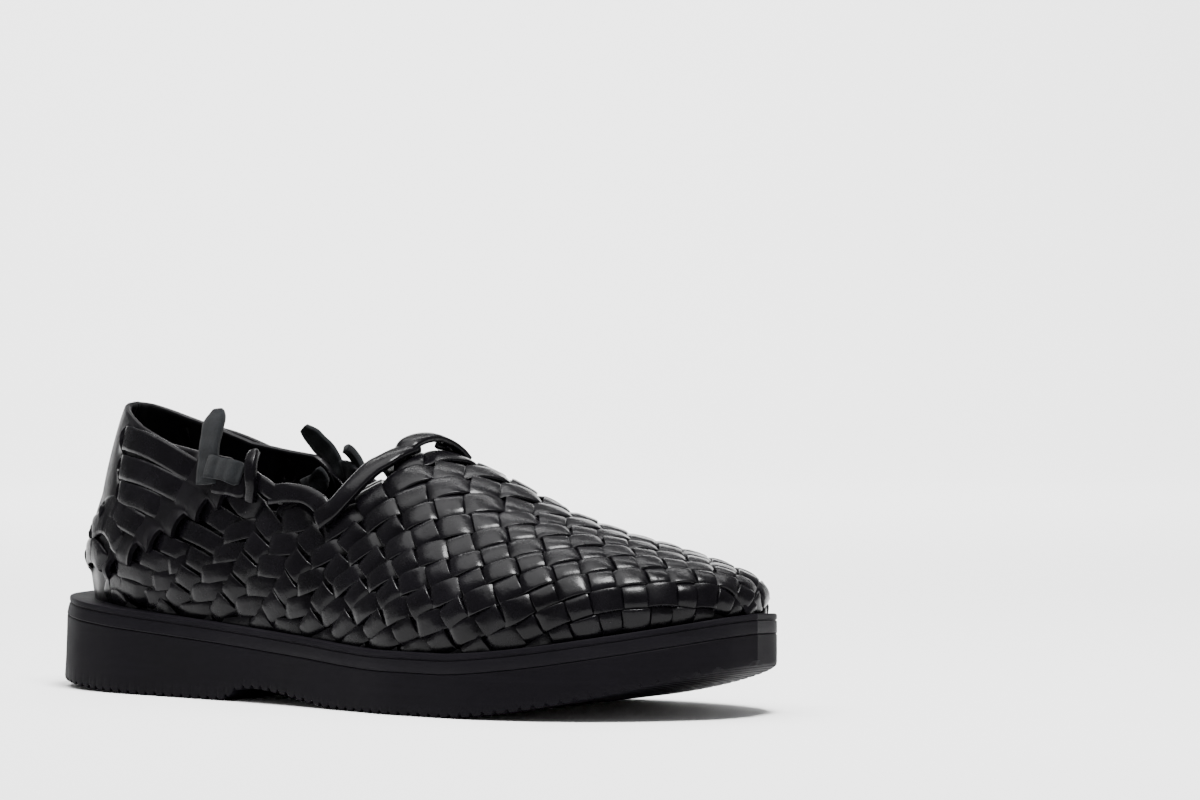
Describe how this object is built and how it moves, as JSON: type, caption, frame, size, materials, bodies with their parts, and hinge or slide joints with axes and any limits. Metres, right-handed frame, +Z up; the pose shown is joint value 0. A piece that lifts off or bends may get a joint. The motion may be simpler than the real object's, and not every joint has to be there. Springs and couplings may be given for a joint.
{
  "type": "huarache shoe",
  "caption": "Woven black leather huarache shoe for the right foot: closed woven toe, slotted heel cap with knotted thongs, one-colour rubber sole; stands empty on its sole.",
  "frame": {"origin": "bottom centre of the bounding box of the shoe standing on its sole", "axes": "+X from heel to toe, +Y to the inner side of the foot, +Z up"},
  "size_m": [0.297, 0.106, 0.1057],
  "materials": {
    "leather": "semi-gloss smooth black",
    "suede": "fuzzy flesh side",
    "rubber": "matte",
    "lining": "matte"
  },
  "bodies": {
    "root": {"outsole": "rubber", "midsole": "rubber", "insole": "lining", "upper": "leather", "heel_cap": "leather", "tie_outer": "suede", "tie_inner": "suede", "tie_knot": "suede", "strand_outer": "leather", "strand_inner": "leather", "throat_loop": "leather"}
  },
  "joints": []
}
